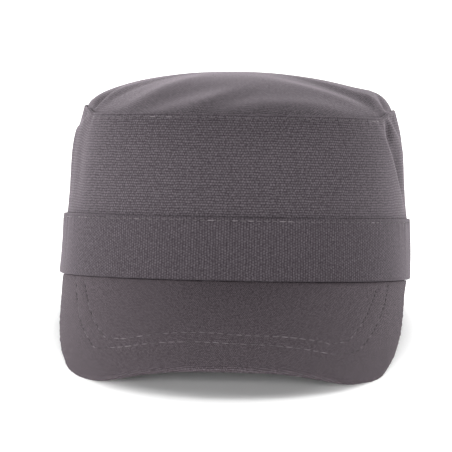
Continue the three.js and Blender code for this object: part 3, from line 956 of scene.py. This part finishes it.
# This ramp paints each stitch's light and shade, from painted shade darker than the cloth to a painted
# highlight.
thread_painted_tone = shader_node(tree, "ShaderNodeValToRGB", {"Fac": tone})
thread_painted_tone.color_ramp.elements[0].color = linear("#2c292b")
thread_painted_tone.color_ramp.elements[1].color = linear("#b5adb1")
twisted = shader_node(
    tree, "ShaderNodeBsdfPrincipled",
    {"Base Color": thread_painted_tone.outputs[0], "Roughness": 0.8, "IOR": 1.5, "Specular IOR Level": 0.2},
)
shader_node(tree, "ShaderNodeOutputMaterial", {"Surface": twisted.outputs[0]})


def stitched(name, node, rows, painted_light):
    """All the stitches of one piece. A row is a line of (point, outward direction) and the size of its
    stitches, and the last argument, given a point and a chance, is a stitch's painted tone: painted shade at
    0, a painted highlight at 1."""
    bm = bmesh.new()
    tone = bm.verts.layers.float.new("painted_light")
    for line, stitch in rows:
        lengths = path_lengths([point for point, outward in line])
        count = int(lengths[-1] / stitch["pitch"])
        at = 0
        for number in range(count):
            middle = (number + 0.5) * lengths[-1] / count
            while lengths[at + 1] < middle:
                at += 1
            part = (middle - lengths[at]) / (lengths[at + 1] - lengths[at])
            point = line[at][0].lerp(line[at + 1][0], part)
            outward = line[at][1].lerp(line[at + 1][1], part).normalized()
            ahead = (line[at + 1][0] - line[at][0]).normalized()
            beside = outward.cross(ahead).normalized()
            chance = 0.5 + noise.noise(point * UNEVENNESS)
            length = stitch["length"] * mix(SHORTEST, LONGEST, chance)
            bead = Matrix((ahead * length, beside * THREAD, outward * THREAD)).transposed()
            bead = Matrix.Translation(point) @ bead.to_4x4()
            placed = Matrix.Scale(1 / 1000, 4) @ at_rest @ bead @ Matrix.Rotation(math.pi / 2, 4, "Y")
            made = bmesh.ops.create_uvsphere(
                bm, u_segments=THREAD_FACES, v_segments=THREAD_FACES, radius=0.5, matrix=placed,
            )
            for vert in made["verts"]:
                # Each stitch's painted light and shade.
                vert[tone] = painted_light(point, chance)
    for face in bm.faces:
        face.smooth = True
    cap_piece(bm, name, node, thread_cotton)


# The painted tone of a row's stitches, from the darkest, painted in shade, to the lightest, painted with
# a highlight, and the chances between which a stitch goes over from one to the other.
SEAM_SHADE_TO_GLINT_TONES = (0.17, 0.39)
SEAM_GLINT_CHANCES = (0.62, 0.9)
FRONT_GLINT_TONES = (0.14, 0.4)
SIDE_SHADE_TONES = (0, 0.3)
SIDE_GLINT_CHANCES = (0.6, 0.7)
FRONT_GLINTS_TO = 40
SIDE_SHADE_FROM = 65


def shaded_with_few_glints(point, chance):
    """Painted in shade all along, darker than the cloth, but for a few stitches painted with a highlight."""
    return mix(*SEAM_SHADE_TO_GLINT_TONES, smooth(chance, *SEAM_GLINT_CHANCES))


def glints_in_front_shade_at_sides(point, chance):
    """On the peak the stitches are painted with highlights as light dashes in front, and painted in shade as
    dark holes at the sides.
    """
    in_front = mix(*FRONT_GLINT_TONES, chance)
    at_side = mix(*SIDE_SHADE_TONES, smooth(chance, *SIDE_GLINT_CHANCES))
    return mix(in_front, at_side, smooth(abs(point.x), FRONT_GLINTS_TO, SIDE_SHADE_FROM))


SEAM_POINTS = 600
BAND_POINTS = 900
SIDE_SEAM_GAP = 0.5


def seam_line(start, end):
    """A row close under the top seam, from one angle to another."""
    line = []
    for step in range(SEAM_POINTS):
        angle = mix(start, end, step / (SEAM_POINTS - 1))
        share = 1 - SEAM_STITCHES_BELOW / (seam_height(angle) - CROWN_FOOT)
        point = crown_place(angle, share, 0)
        outward = Vector((point.x, point.y, 0)).normalized()
        line.append((point + outward * (crown_detail(angle, share) + THREAD_LIFT), outward))
    return line


def band_line():
    """A row all round, close under the band's upper edge."""
    line = []
    height = BAND_HEIGHT - BAND_STITCHES_BELOW
    for step in range(BAND_POINTS):
        angle = 360 * step / (BAND_POINTS - 1)
        place = band_place(angle, height / BAND_HEIGHT, 0)
        outward = Vector((place.x, place.y, 0)).normalized()
        point = Vector((place.x, place.y, height))
        line.append((point + outward * (band_detail(angle, height) + THREAD_LIFT), outward))
    return line


CROSSING = 0.4
UNDER_BAND = 1


def peak_line(row, under):
    """A row of stitches along the peak, as far as the board shows under the band. It leaves out the
    points that would cross over one another inside a corner."""
    line = []
    for index in range(1, len(flat_outline) - 1):
        edge = flat_outline[index]
        ahead = (flat_outline[index + 1] - flat_outline[index - 1]).normalized()
        inside = stitch_rows(index / len(flat_outline))[row]
        flat = edge + Vector((ahead.y, -ahead.x)) * inside
        if min((flat - other).length for other in flat_outline) < inside - CROSSING:
            continue
        spot = rolled(flat)
        if spot.y > root_line(spot.x) - UNDER_BAND:
            continue
        raised = -PEAK_THICKNESS - THREAD_LIFT if under else peak_detail(spot) + THREAD_LIFT
        outward = peak_normal(spot)
        point = Vector((spot.x, spot.y, peak_height(spot))) + outward * raised
        line.append((point, -outward if under else outward))
    return line


front_end = SIDE_SEAM - SIDE_SEAM_GAP
back_end = SIDE_SEAM + SIDE_SEAM_GAP
stitched(
    "top_seam_stitches_front", "crown_front",
    [(seam_line(-front_end, front_end), SEAM_STITCH)], shaded_with_few_glints,
)
stitched(
    "top_seam_stitches_back", "crown_back",
    [(seam_line(back_end, 360 - back_end), SEAM_STITCH)], shaded_with_few_glints,
)
stitched("band_stitches", "band", [(band_line(), BAND_STITCH)], shaded_with_few_glints)
stitched(
    "peak_stitches", "peak",
    [(peak_line(row, under), PEAK_STITCH) for row in (0, 1) for under in (False, True)],
    glints_in_front_shade_at_sides,
)
